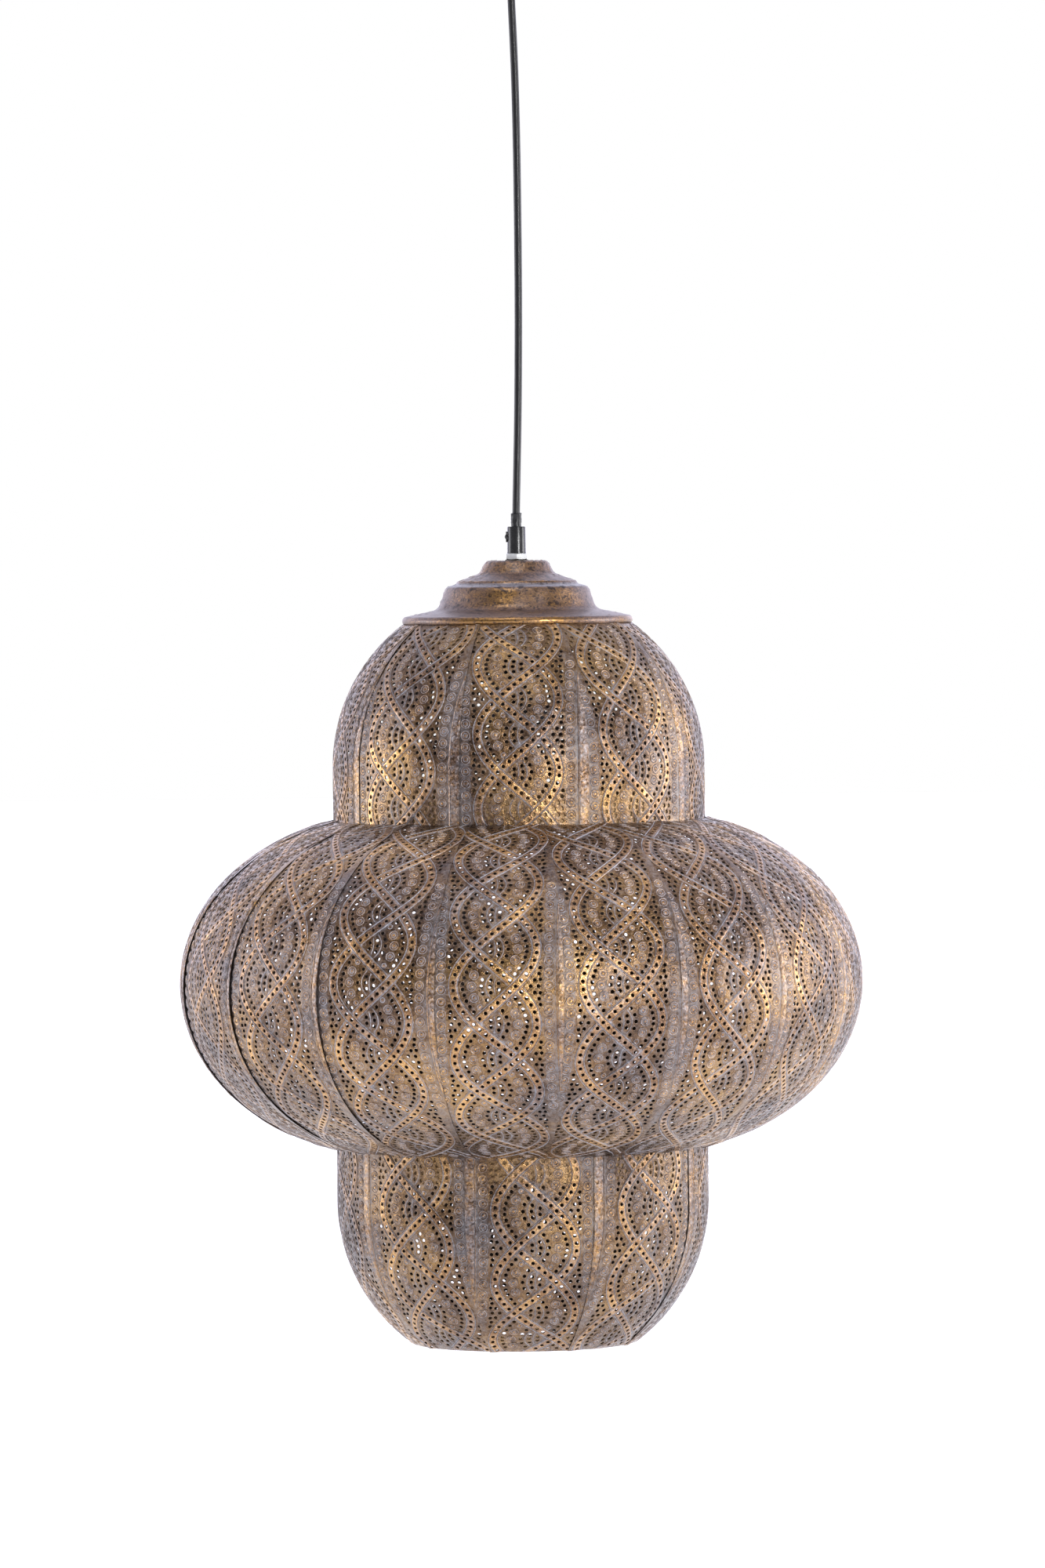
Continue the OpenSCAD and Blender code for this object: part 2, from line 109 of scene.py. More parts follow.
def bumps(tree, shader, *layers):
    """Bump layers laid over each other, each with its height, strength and depth."""
    below = {}
    for height, strength, depth in layers:
        made = node(tree, "ShaderNodeBump",
                    {"Height": height, "Strength": strength, "Distance": depth, **below})
        below = {"Normal": made.outputs["Normal"]}
    fill(tree, shader, below)


def new_material(name):
    made = bpy.data.materials.new(name)
    made.use_nodes = True
    tree = made.node_tree
    tree.nodes.clear()
    shader = node(tree, "ShaderNodeBsdfPrincipled")
    node(tree, "ShaderNodeOutputMaterial", {"Surface": shader.outputs["BSDF"]})
    return made, tree, shader


def mottled(name, dark, light, scale, rough, metal=0.0, bump=0.1, depth=0.0001, fine=900,
            stretch=(1, 1, 1), gloss=0.5):
    """A surface of two tones that run into each other, with fine grain on top."""
    made, tree, shader = new_material(name)
    place = node(tree, "ShaderNodeTexCoord").outputs["Object"]
    drawn = node(tree, "ShaderNodeMapping", {"Vector": place, "Scale": stretch}).outputs["Vector"]
    cloud = noise(tree, drawn, scale, 6.0, 0.6)
    grain = noise(tree, drawn, fine, 3.0)
    fill(tree, shader, {"Base Color": ramp(tree, cloud, (0.35, dark), (0.65, light)),
                        "Roughness": ramp(tree, grain, (0.3, rough[0]), (0.7, rough[1])),
                        "Metallic": metal, "Specular IOR Level": gloss})
    bumps(tree, shader, (grain, bump, depth))
    return made


def dressed(piece, body, slot, *materials, stands_for=()):
    """Gives a finished piece its materials, its body and its place among the parts."""
    piece.data.materials.clear()
    for material in materials:
        piece.data.materials.append(material)
    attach(piece, body)
    if stands_for:
        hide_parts(*stands_for)
    return piece


cord_black = mottled("cord_sheath", (0.006, 0.006, 0.007), (0.014, 0.014, 0.015), 60, (0.28, 0.42),
                     bump=0.15, depth=0.00008, fine=700, stretch=(1, 1, 0.12), gloss=0.3)
cord_curve = bpy.data.curves.new("flex_cord", "CURVE")
cord_curve.dimensions = "3D"
cord_curve.bevel_depth = cord_radius
cord_curve.bevel_resolution = 6
cord_curve.use_fill_caps = True
spline = cord_curve.splines.new("NURBS")
spline.points.add(len(cord_route) + 1)
route = [Vector((x * MM, y * MM, cord_top - share * cord_length)) for x, y, share in cord_route]
route = [route[0], *route, route[-1]]
for point, where in zip(spline.points, route):
    point.co = (*where, 1)
spline.order_u = 4
spline.resolution_u = 6
spline.use_endpoint_u = True
flex_cord = bpy.data.objects.new("flex_cord", cord_curve)
bpy.context.collection.objects.link(flex_cord)
dressed(flex_cord, "cord", "cord_sheath", cord_black, stands_for=["cord"])
for tail in ("ceiling_tail", "lamp_tail"):
    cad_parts[tail].data.materials.clear()
    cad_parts[tail].data.materials.append(cord_black)

# --------------------------------------
# Ceiling strap: a folded strip of zinc plated steel with two slots, screwed to the ceiling.
# Its two ears take the side screws of the ceiling cup.
# --------------------------------------
def picked(piece):
    bpy.ops.object.select_all(action="DESELECT")
    piece.select_set(True)
    bpy.context.view_layer.objects.active = piece


def applied(piece, kind, **settings):
    """Adds a modifier to a piece and makes it part of the mesh."""
    modifier = piece.modifiers.new(kind.lower(), kind)
    for key, value in settings.items():
        setattr(modifier, key, value)
    picked(piece)
    bpy.ops.object.modifier_apply(modifier=modifier.name)


def smoothed(piece, degrees=35):
    picked(piece)
    bpy.ops.object.shade_smooth_by_angle(angle=math.radians(degrees))


def bevelled(piece, width, segments, degrees, smooth=35):
    applied(piece, "BEVEL", width=width * MM, segments=segments, limit_method="ANGLE",
            angle_limit=math.radians(degrees))
    smoothed(piece, smooth)


def eased(name, source, width, segments=2):
    """A pressed or moulded part with the burr taken off its edges."""
    made = bpy.data.objects.new(name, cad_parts[source].data.copy())
    bpy.context.collection.objects.link(made)
    picked(made)
    bpy.ops.object.mode_set(mode="EDIT")
    bpy.ops.mesh.select_all(action="SELECT")
    bpy.ops.mesh.remove_doubles(threshold=1e-6)
    bpy.ops.mesh.dissolve_limited(angle_limit=math.radians(1))
    bpy.ops.object.mode_set(mode="OBJECT")
    bevelled(made, width, segments, 40)
    return made


zinc = mottled("zinc_steel", (0.56, 0.57, 0.57), (0.74, 0.75, 0.74), 130, (0.3, 0.44), metal=0.85,
               bump=0.12, depth=0.00005, fine=1400)
strap = eased("strap_folded", "ceiling_strap", 0.3)
dressed(strap, "root", "zinc_steel", zinc, stands_for=["ceiling_strap"])

# --------------------------------------
# Ceiling cup: a flat cup spun from brass sheet and browned like the cap, with a hole in its foot
# for the cord's grip and one at each side for the screws that hold it to the strap's ears.
# --------------------------------------
def rounded(corners, steps=6):
    """An outline through corners, each given as radius, height and the size of its rounding."""
    points = [corners[0][:2]]
    for before, corner, after in zip(corners, corners[1:], corners[2:]):
        here = Vector(corner[:2])
        to_last = (Vector(before[:2]) - here).normalized()
        to_next = (Vector(after[:2]) - here).normalized()
        half = to_last.angle(to_next) / 2
        size = corner[2]
        if size == 0:
            points.append(corner[:2])
            continue
        middle = here + (to_last + to_next).normalized() * size / math.sin(half)
        first = here + to_last * size / math.tan(half) - middle
        last = here + to_next * size / math.tan(half) - middle
        sweep = first.angle_signed(last)
        for step in range(steps + 1):
            turn = -sweep * step / steps
            points.append((middle.x + first.x * math.cos(turn) - first.y * math.sin(turn),
                           middle.y + first.x * math.sin(turn) + first.y * math.cos(turn)))
    points.append(corners[-1][:2])
    return points


def turned(name, outline, sides=64):
    """A piece turned on the lantern's axis: its outline is drawn point by point, then spun."""
    bpy.ops.object.select_all(action="DESELECT")
    bpy.ops.mesh.primitive_plane_add(size=MM)
    made = bpy.context.object
    made.name = name
    bpy.ops.object.mode_set(mode="EDIT")
    bpy.ops.mesh.merge(type="CENTER")
    bpy.ops.transform.translate(value=(outline[0][0] * MM, 0, outline[0][1] * MM))
    for (r, z), (next_r, next_z) in zip(outline, outline[1:]):
        bpy.ops.mesh.extrude_vertices_move(
            TRANSFORM_OT_translate={"value": ((next_r - r) * MM, 0, (next_z - z) * MM)})
    bpy.ops.mesh.select_all(action="SELECT")
    bpy.ops.mesh.spin(steps=sides, angle=2 * math.pi, center=(0, 0, 0), axis=(0, 0, 1))
    bpy.ops.mesh.select_all(action="SELECT")
    bpy.ops.mesh.remove_doubles(threshold=2e-6)
    bpy.ops.mesh.normals_make_consistent(inside=False)
    bpy.ops.object.mode_set(mode="OBJECT")
    smoothed(made)
    return made


def walled(piece, thickness, inwards):
    """Gives a spun sheet its thickness, on the inner side of the drawn outline."""
    applied(piece, "SOLIDIFY", thickness=thickness * MM, offset=-1 if inwards else 1, use_even_offset=True)
    picked(piece)
    bpy.ops.object.mode_set(mode="EDIT")
    bpy.ops.mesh.select_all(action="SELECT")
    bpy.ops.mesh.remove_doubles(threshold=2e-6)
    bpy.ops.object.mode_set(mode="OBJECT")
    smoothed(piece)


def pin(name, r, length, place, axis="X", sides=32):
    """A plain rod lying along an axis, to cut with."""
    bpy.ops.object.select_all(action="DESELECT")
    turn = {"X": (0, math.pi / 2, 0), "Z": (0, 0, 0)}[axis]
    bpy.ops.mesh.primitive_cylinder_add(vertices=sides, radius=r * MM, depth=length * MM,
                                        location=[v * MM for v in place], rotation=turn)
    bpy.context.object.name = name
    return bpy.context.object


def carved(piece, cutter, how="DIFFERENCE"):
    applied(piece, "BOOLEAN", object=cutter, operation=how, solver="EXACT")
    bpy.data.objects.remove(cutter, do_unlink=True)
    smoothed(piece)


pass_r = 5.3
canopy_r = 48
canopy_foot = -32
side_hole_z = -9
canopy_brass = mottled("canopy_brass", (0.12, 0.072, 0.042), (0.34, 0.215, 0.10), 45, (0.34, 0.5),
                       metal=0.85, bump=0.3, depth=0.0002, fine=500)
canopy_outline = rounded([(pass_r, canopy_foot, 0), (30, canopy_foot, 0), (canopy_r, canopy_foot, 8),
                          (canopy_r, -0.5, 0)])
cup = turned("canopy_spun", canopy_outline, sides=96)
walled(cup, 1, inwards=True)
for side in (-1, 1):
    carved(cup, pin("side_hole", 2.3, 8, (side * canopy_r, 0, side_hole_z)))
bevelled(cup, 0.15, 1, 50)
dressed(cup, "root", "canopy_brass", canopy_brass, stands_for=["canopy"])

# --------------------------------------
# Three knurled screws of plated steel: two hold the ceiling cup, one clamps the cord in its grip.
# The heads have a slot for a driver, and the shanks a fine thread.
# --------------------------------------
def fluted(piece, low, high, least_r, depth, columns):
    """Sinks every second column of a turned piece's outside, as a knurl or a row of teeth."""
    for vertex in piece.data.vertices:
        x, y, z = vertex.co
        r = math.hypot(x, y)
        if low * MM < z < high * MM and r > least_r * MM:
            column = round(math.atan2(y, x) / (2 * math.pi) * columns)
            if column % 2:
                vertex.co.x *= 1 - depth * MM / r
                vertex.co.y *= 1 - depth * MM / r
    piece.data.update()


def block(place, size):
    """A plain bar, to cut a slot with."""
    bpy.ops.object.select_all(action="DESELECT")
    bpy.ops.mesh.primitive_cube_add(size=1, location=[v * MM for v in place], scale=[v * MM for v in size])
    return bpy.context.object


def joined(first, *others):
    picked(first)
    for other in others:
        other.select_set(True)
    bpy.ops.object.join()
    return first


def moved(piece, turn, place):
    """Puts a piece in its place and leaves that place in its mesh."""
    picked(piece)
    piece.rotation_euler = turn
    piece.location = [v * MM for v in place]
    bpy.ops.object.transform_apply(location=True, rotation=True, scale=True)
    return piece


screw_pitch = 0.7
knurls = 48
head_r, head_h = 3.5, 2.4


def knurled_screw(name, length):
    """A screw standing on the origin, its head up."""
    thread = []
    for i in range(int(length / screw_pitch)):
        z = -length + 0.4 + i * screw_pitch
        thread += [(1.68, z), (2.0, z + 0.3), (2.0, z + 0.38)]
    shank = [(0, -length), (1.4, -length)] + thread + [(1.75, -0.1), (1.75, 0)]
    head = [(head_r - 0.3, 0), (head_r, 0.25), (head_r, head_h - 0.5), (head_r - 0.35, head_h - 0.1),
            (head_r - 0.9, head_h), (0, head_h)]
    made = turned(name, shank + head, sides=knurls)
    fluted(made, 0.1, head_h - 0.3, head_r - 0.1, 0.18, knurls)
    carved(made, block((0, 0, head_h), (9, 0.7, 1.4)))
    return made


screws = [moved(knurled_screw("cup_screw", length), (0.4, math.copysign(math.pi / 2, x), 0), (x, 0, z))
          for x, z, length in ((48.2, side_hole_z, 5), (-48.2, side_hole_z, 5), (-7.15, -49.2, 4))]
joined(*screws).name = "cup_screws"
dressed(screws[0], "root", "zinc_steel", zinc, stands_for=["ceiling_screws"])

# --------------------------------------
# Threaded tubes: 10 mm brass tube with a fine thread. A short one joins the ceiling cup to its
# grip, a long one runs from the lower grip through the cap and the crossbar to the lampholder.
# --------------------------------------
tube_r = 5
tube_bore = 3.6


def threaded_tube(name, low, high):
    outline = [(tube_bore, low), (tube_r - 0.6, low), (tube_r - 0.4, low + 0.3)]
    for i in range(int(high - low - 1)):
        z = low + 0.5 + i
        outline += [(tube_r - 0.42, z), (tube_r - 0.05, z + 0.4), (tube_r - 0.05, z + 0.6)]
    outline += [(tube_r - 0.4, high - 0.3), (tube_r - 0.6, high), (tube_bore, high), (tube_bore, low)]
    return turned(name, outline, sides=40)


turned_brass = mottled("yellow_brass", (0.44, 0.29, 0.10), (0.66, 0.47, 0.19), 90, (0.22, 0.36), metal=1.0,
                       bump=0.08, depth=0.00004, fine=1600)
dressed(threaded_tube("tube_short", -40, -25.4), "root", "yellow_brass", turned_brass,
        stands_for=["ceiling_tube"])
dressed(threaded_tube("tube_long", -546.02, -463), "lantern", "yellow_brass", turned_brass,
        stands_for=["threaded_tube"])

# --------------------------------------
# Hexagon nuts and toothed washer: plated steel nuts with both faces chamfered, one inside the
# ceiling cup, one above the cap and one under the crossbar. The washer is oiled spring steel.
# --------------------------------------
across_flats = 15
nut_r = across_flats / math.sqrt(3)
nut_h = 4.6
cap_top = -476.4
upper_nut_top = -471.0


def nut(name, top):
    low = top - nut_h
    blank = turned(name, [(4.55, low), (7.3, low), (nut_r + 0.2, low + 0.75), (nut_r + 0.2, top - 0.75),
                          (7.3, top), (5.1, top), (4.75, top - 0.4), (4.75, low + 0.4), (4.55, low)],
                   sides=48)
    carved(blank, pin("prism", nut_r, nut_h + 4, (0, 0, top - nut_h / 2), axis="Z", sides=6), "INTERSECT")
    bevelled(blank, 0.12, 1, 35, smooth=30)
    return blank


dressed(nut("nut_in_cup", -26.4), "root", "zinc_steel", zinc, stands_for=["ceiling_nut"])
nuts = joined(nut("nuts_on_tube", upper_nut_top), nut("nut_under_bar", -533.42))
dressed(nuts, "lantern", "zinc_steel", zinc, stands_for=["tube_nuts"])
oiled_steel = mottled("dark_steel", (0.03, 0.028, 0.027), (0.09, 0.085, 0.08), 180, (0.3, 0.5), metal=0.8,
                      bump=0.1, depth=0.00005, fine=1500)
washer_teeth = 48
washer = turned("toothed_washer", [
    (pass_r, cap_top), (8.2, cap_top), (8.3, cap_top + 0.2), (8.3, cap_top + 0.6), (8.2, cap_top + 0.8),
    (pass_r, cap_top + 0.8), (pass_r, cap_top)], sides=washer_teeth)
fluted(washer, -477, -475, 8.0, 0.7, washer_teeth)
dressed(washer, "lantern", "dark_steel", oiled_steel, stands_for=["lock_washer"])

# --------------------------------------
# Cord grips: glossy black moulded thimbles that screw on the tubes, a little wider at the thread,
# with a fine rim. The lower one has its clamping screw at the left; a loose sleeve guards the cord.
# --------------------------------------
def grip(name, thread_end, free_end):
    way = 1 if free_end > thread_end else -1
    profile = [(5.15, 0), (6.75, 0), (6.95, 0.25), (6.9, 0.9), (6.78, 1.0), (6.62, 18.9), (6.5, 19.35),
               (6.2, 19.6), (4.1, 19.6), (3.6, 19.3), (3.3, 18.6), (3.3, 9.2), (5.15, 8.6), (5.15, 0)]
    return turned(name, [(r, thread_end + way * h) for r, h in profile], sides=64)


grip_top = -451.4
grip_screw_z = -458.9
black_gloss = mottled("black_plastic", (0.010, 0.010, 0.011), (0.019, 0.019, 0.020), 70, (0.2, 0.3),
                      bump=0.06, depth=0.00005, fine=500, gloss=0.35)
dressed(grip("grip_upper", canopy_foot, -51.6), "root", "black_plastic", black_gloss,
        stands_for=["ceiling_grip"])
lower_grip = grip("grip_lower", upper_nut_top, grip_top)
boss = pin("screw_boss", 2.9, 4, (-5.7, 0, grip_screw_z), sides=48)
boss.scale = (1.35, 1, 1)
picked(boss)
bpy.ops.object.transform_apply(location=True, rotation=True, scale=True)
carved(lower_grip, boss, "UNION")
carved(lower_grip, pin("screw_hole", 2.15, 6, (-6, 0, grip_screw_z)))
bevelled(lower_grip, 0.3, 2, 45)
dressed(lower_grip, "grip", "black_plastic", black_gloss, stands_for=["cord_grip"])

set_screw = turned("set_screw", [(0, -3.6), (1.2, -3.6), (1.9, -3.0), (1.9, 0.35), (1.6, 0.75), (1.1, 0.9),
                                 (0, 0.9)], sides=40)
carved(set_screw, block((0, 0, 0.9), (0.6, 6, 1.1)))
moved(set_screw, (0.9, -math.pi / 2, 0), (-6.9, 0, grip_screw_z))
dressed(set_screw, "grip", "black_plastic", black_gloss, stands_for=["grip_screw"])

sleeve_outline = [
    (3.15, -451.6), (3.75, -451.6), (3.85, -450.5), (3.7, -449.2), (3.9, -448.2), (3.72, -447.0),
    (3.86, -445.8), (3.78, -444.4), (3.95, -443.2), (4.1, -442.2), (4.15, -441.8), (4.0, -441.6),
    (3.4, -441.7), (3.2, -442.6), (3.15, -451.6)]
sleeve_length = 0.0098
sleeve = turned("sleeve_shrunk", sleeve_outline, sides=48)
for vertex in sleeve.data.vertices:
    x, y, z = vertex.co
    around = math.atan2(y, x)
    if math.hypot(x, y) > 3.5 * MM:
        pull = 1 + 0.035 * math.sin(2 * around + 700 * z) + 0.02 * math.sin(5 * around - 1100 * z)
        vertex.co.x *= pull
        vertex.co.y *= pull
    vertex.co.z += 0.35 * MM * math.sin(around + 0.6) * max(0, (z - grip_top * MM) / sleeve_length)
sleeve.data.update()
dressed(sleeve, "grip", "cord_sheath", cord_black, stands_for=["cord_sleeve"])

# --------------------------------------
# Terminal block inside the ceiling cup: moulded cream plastic, all in the cream material, though its two
# clamps are brass.
# --------------------------------------
cream = mottled("cream_plastic", (0.62, 0.58, 0.46), (0.72, 0.68, 0.55), 160, (0.4, 0.55), bump=0.05,
                depth=0.00005, fine=900)
dressed(eased("block_moulded", "terminal_block", 0.5), "root", "cream_plastic", cream,
        stands_for=["terminal_block"])

# --------------------------------------
# Cap: spun from brass sheet with a flat hub, two flares parted by a step, and a rolled rim.
# Blackened, then rubbed back to gold on the shoulder, the hub and the rim; grains of crust stay.
# --------------------------------------
cap_height = 47
cap_sheet = 0.9
cap_sides = 288
roll_r, roll_h, roll_size = 81.3, -43.7, 3.3
cap_outline = rounded([(pass_r, 0, 0), (12, 0, 0), (22.5, 0, 4), (27.5, -9.2, 5), (36, -12.3, 0),
                       (43.5, -14.9, 1.3), (45.1, -17.1, 1.2), (52.5, -19.1, 5), (54.8, -26.5, 0),
                       (58, -35.5, 8), (roll_r, roll_h + roll_size, 0)], steps=7)
finer = []
for a, b in zip(cap_outline, cap_outline[1:]):
    count = max(1, round(math.dist(a, b) / 1.7))
    finer += [(a[0] + (b[0] - a[0]) * i / count, a[1] + (b[1] - a[1]) * i / count) for i in range(count)]
roll_angles = np.radians(np.linspace(90, -205, 20))
finer += [(roll_r + roll_size * math.cos(a), roll_h + roll_size * math.sin(a)) for a in roll_angles]
spun_cap = turned("cap_spun", [(r, cap_top + z) for r, z in finer], sides=cap_sides)
chance = np.random.default_rng(21)
count = len(spun_cap.data.vertices)
places, outward = np.empty(count * 3), np.empty(count * 3)
spun_cap.data.vertices.foreach_get("co", places)
spun_cap.data.vertices.foreach_get("normal", outward)
places, outward = places.reshape(-1, 3), outward.reshape(-1, 3)
around = np.arctan2(places[:, 1], places[:, 0])
down = places[:, 2] / MM - cap_top
grains = np.maximum(0, chance.normal(size=count) - 1.3) * 0.28 * np.where(down < -40.2, 0.3, 1)
dents = chance.uniform(0, 2 * math.pi, 3)
wave = 0.10 * np.sin(7 * around + dents[0] + down * 0.2) * np.sin(3 * around + dents[1])
wave += 0.08 * np.sin(19 * around + dents[2] - down * 0.33)
places += outward * ((grains + wave) * MM)[:, None]
spun_cap.data.vertices.foreach_set("co", places.ravel())
spun_cap.data.update()
walled(spun_cap, cap_sheet, inwards=True)


def maths(tree, operation, *values, clamp=False):
    return node(tree, "ShaderNodeMath", dict(enumerate(values)), operation=operation,
                use_clamp=clamp).outputs["Value"]


def blend(tree, factor, first, second, how="MIX"):
    return node(tree, "ShaderNodeMix", {0: factor, 6: first, 7: second}, data_type="RGBA",
                blend_type=how).outputs[2]


def mapped(tree, value, *limits):
    return node(tree, "ShaderNodeMapRange", {"Value": value, **dict(enumerate(limits, 1))}).outputs[0]


bronze, tree, shader = new_material("cap_bronze")
place = node(tree, "ShaderNodeTexCoord").outputs["Object"]
split = node(tree, "ShaderNodeSeparateXYZ", {"Vector": place})
up = mapped(tree, split.outputs["Z"], (cap_top - cap_height) * MM, cap_top * MM)
# Painted shade: the rub is taken back toward the cap's left and right flanks as the camera sees them, so
# those flanks turn brown.
away = mapped(tree, maths(tree, "ABSOLUTE", split.outputs["X"]), 0.026, 0.052, 0.0, 0.62)
reach = ramp(tree, up, (0.0, 0.95), (0.115, 1.0), (0.15, 0.12), (0.22, 0.1), (0.3, 0.6), (0.48, 0.72),
             (0.58, 0.55), (0.615, 0.1), (0.645, 0.3), (0.68, 0.6), (0.70, 0.22), (0.79, 0.05),
             (0.86, 0.3), (0.95, 0.42), (1.0, 0.25))
patches = noise(tree, place, 34.0, 5.0, 0.6)
slanted = node(tree, "ShaderNodeMapping", {"Vector": place, "Scale": (1.0, 1.0, 1.9)}).outputs["Vector"]
strokes = noise(tree, slanted, 480.0, 4.0, 0.7)
blots = noise(tree, place, 190.0, 3.0, 0.55)
specks = noise(tree, place, 620.0, 2.0)
broad = maths(tree, "MULTIPLY_ADD", patches, 2.4, -1.25)
shifted = maths(tree, "SUBTRACT", maths(tree, "MULTIPLY_ADD", strokes, 1.7, broad), 0.85)
# Real rubbed wear by height and strokes, less the painted shade on the flanks.
rub_and_flank_shade = maths(tree, "SUBTRACT", maths(tree, "ADD", shifted, reach), away, clamp=True)
gold = ramp(tree, strokes, (0.32, (0.15, 0.075, 0.026)), (0.68, (0.44, 0.24, 0.075)))
brown = ramp(tree, strokes, (0.3, (0.075, 0.044, 0.037)), (0.7, (0.20, 0.138, 0.125)))
bloom = ramp(tree, up, (0.585, 0), (0.605, 0.8), (0.64, 0.7), (0.66, 0))
dulled = blend(tree, bloom, blend(tree, rub_and_flank_shade, brown, gold), (0.27, 0.265, 0.30, 1))
above_roll = mapped(tree, up, 0.12, 0.16)
blot = maths(tree, "MULTIPLY", ramp(tree, blots, (0.56, 0), (0.66, 0.85)), above_roll)
spotted = blend(tree, blot, dulled, (0.035, 0.024, 0.024, 1))
speck = ramp(tree, specks, (0.58, 0), (0.64, 0.8))
fill(tree, shader, {
    "Base Color": blend(tree, speck, spotted, (0.03, 0.024, 0.026, 1)),
    "Metallic": ramp(tree, rub_and_flank_shade, (0.0, 0.45), (0.7, 0.95)),
    "Roughness": ramp(tree, rub_and_flank_shade, (0.0, 0.5), (0.8, 0.34)),
    "Coat Weight": 0.35, "Coat Roughness": 0.3})
bumps(tree, shader, (blots, 0.4, 0.0006), (strokes, 0.3, 0.0003))
dressed(spun_cap, "lantern", "cap_bronze", bronze, stands_for=["cap"])

# --------------------------------------
# Pierced strips: thin brass sheet, stamped with a braid of three bands, fans of ringed bosses and
# rows of punched holes, then trimmed to a gore, bent, lapped over the next strip and soldered.
# The patina stays in the ground and on the thin raised lines; the bands are rubbed back to brass.
# --------------------------------------
repeat = 53.6
swing = 29.7
sheet = 0.5
lap = 6
band_steps = [(0, 0.42), (2.2, 0.36), (2.6, 0.28), (2.9, 0.06), (3.3, 0.4), (3.7, 0.0)]
band_lines = [2.6, 2.9, 3.3, 3.7]
hole_r = 1.4
dish_r = 1.9
centre_from_edge = 49.1
fan_holes = [(-22.7, 1.95), (-21.6, 6.1), (-20.0, 10.2), (-17.6, 14.3), (-14.7, 18.2), (-5.5, 9.6),
             (-8.3, 5.0), (-9.5, 0), (-2.6, 4.4), (-3.3, 0), (2.9, 2.2)]
fan_bosses = [(-14.5, 8.0, 3.6), (-16.3, 0, 3.6), (-10.5, 14.6, 2.2)]
fan_lines = [[(-2.9, 8.0), (-5.0, 5.2), (-6.1, 2.5), (-6.45, 0), (-6.1, -2.5), (-5.0, -5.2), (-2.9, -8.0)],
             [(0.5, 5.2), (-0.2, 2.6), (-0.4, 0), (-0.2, -2.6), (0.5, -5.2)]]
notch_holes = [(25.5, 0), (28.4, 4.4), (31.0, 0), (32.4, 4.8), (31.5, 8.9), (32.3, 13.1)]
column_u = 38.3
column_pitch = 8.65
column_r = 3.7
hem_u = 44.0
boss_rings = {True: [(0.9, 0.36, 0.85), (0.78, 0.1, 0.12), (0.56, 0.08, 0.3), (0.46, 0.34, 0.8),
                     (0.36, 0.06, 0.4), (0.16, 0.34, 0.0)],
              False: [(0.84, 0.3, 0.85), (0.6, 0.06, 0.3), (0.26, 0.3, 0.0)]}


def band_at(k, s, start):
    """Where band k lies across the strip at height s, and its slope there."""
    turn = 2 * np.pi / (3 * repeat)
    angle = (s - start) * turn - k * 2 * np.pi / 3
    return swing * np.cos(angle), -swing * turn * np.sin(angle)


def off_band(k, u, s, start):
    """How far a point lies from the middle of band k, and the band's slope beside it."""
    near = s
    for _ in range(2):
        middle, slope = band_at(k, near, start)
        near = near + ((u - middle) * slope + (s - near)) / (1 + slope ** 2)
    middle, slope = band_at(k, near, start)
    return np.hypot(u - middle, s - near), slope


def pattern_height(u, s, start):
    """Height and patina of the stamped ground and bands at points of the flat strip."""
    height = np.zeros(len(u))
    patina = np.where(u < -34.6, 0.40, np.where(u > 34.6, 0.26, 0.04))
    for under in (True, False):
        for k in range(3):
            off, slope = off_band(k, u, s, start)
            below = (np.sign(slope) != np.sign(u)) & (np.abs(u) > 4)
            here = (off < band_lines[-1]) & (below if under else ~below)
            height[here] = np.interp(off[here], *zip(*band_steps))
            patina[here] = np.interp(off[here], [0, 2.3, 2.65, 2.9, 3.3, 3.7], [0, 0.02, 0.2, 0.75, 0.9, 0.5])
    return height, patina


def circle(u, s, r, count, turn=0.0):
    angles = np.arange(count) * 2 * np.pi / count + turn
    return np.stack([u + r * np.cos(angles), s + r * np.sin(angles)], axis=1)


def triangulated(points, edges, loop_of, inside):
    """Triangles over the points, without those that span a loop or lie off the sheet."""
    coords, _, faces, origin, _, _ = delaunay_2d_cdt([Vector(p) for p in points], edges, [], 0, 1e-5)
    coords = np.array([(c.x, c.y) for c in coords])
    found = np.full(len(points), -1)
    loops = np.full(len(coords), -1)
    for index, sources in enumerate(origin):
        for source in sources:
            found[source] = index
            if loop_of[source] >= 0:
                loops[index] = loop_of[source]
    faces = np.array(faces)
    spans = (loops[faces[:, 0]] >= 0) & (loops[faces[:, 0]] == loops[faces[:, 1]]) \
        & (loops[faces[:, 1]] == loops[faces[:, 2]])
    middle = coords[faces].mean(axis=1)
    return coords, faces[~spans & inside(middle[:, 0], middle[:, 1])], found


def runs(points, kept):
    """The unbroken runs of the points that are kept."""
    found, part = [], []
    for point, keep in [*zip(points, kept), (None, False)]:
        if keep:
            part.append(point)
        elif part:
            found.append(part)
            part = []
    return found


def distances(points):
    """How far along a line each of its points lies."""
    return np.concatenate([[0], np.cumsum(np.hypot(*np.diff(points, axis=0).T))])


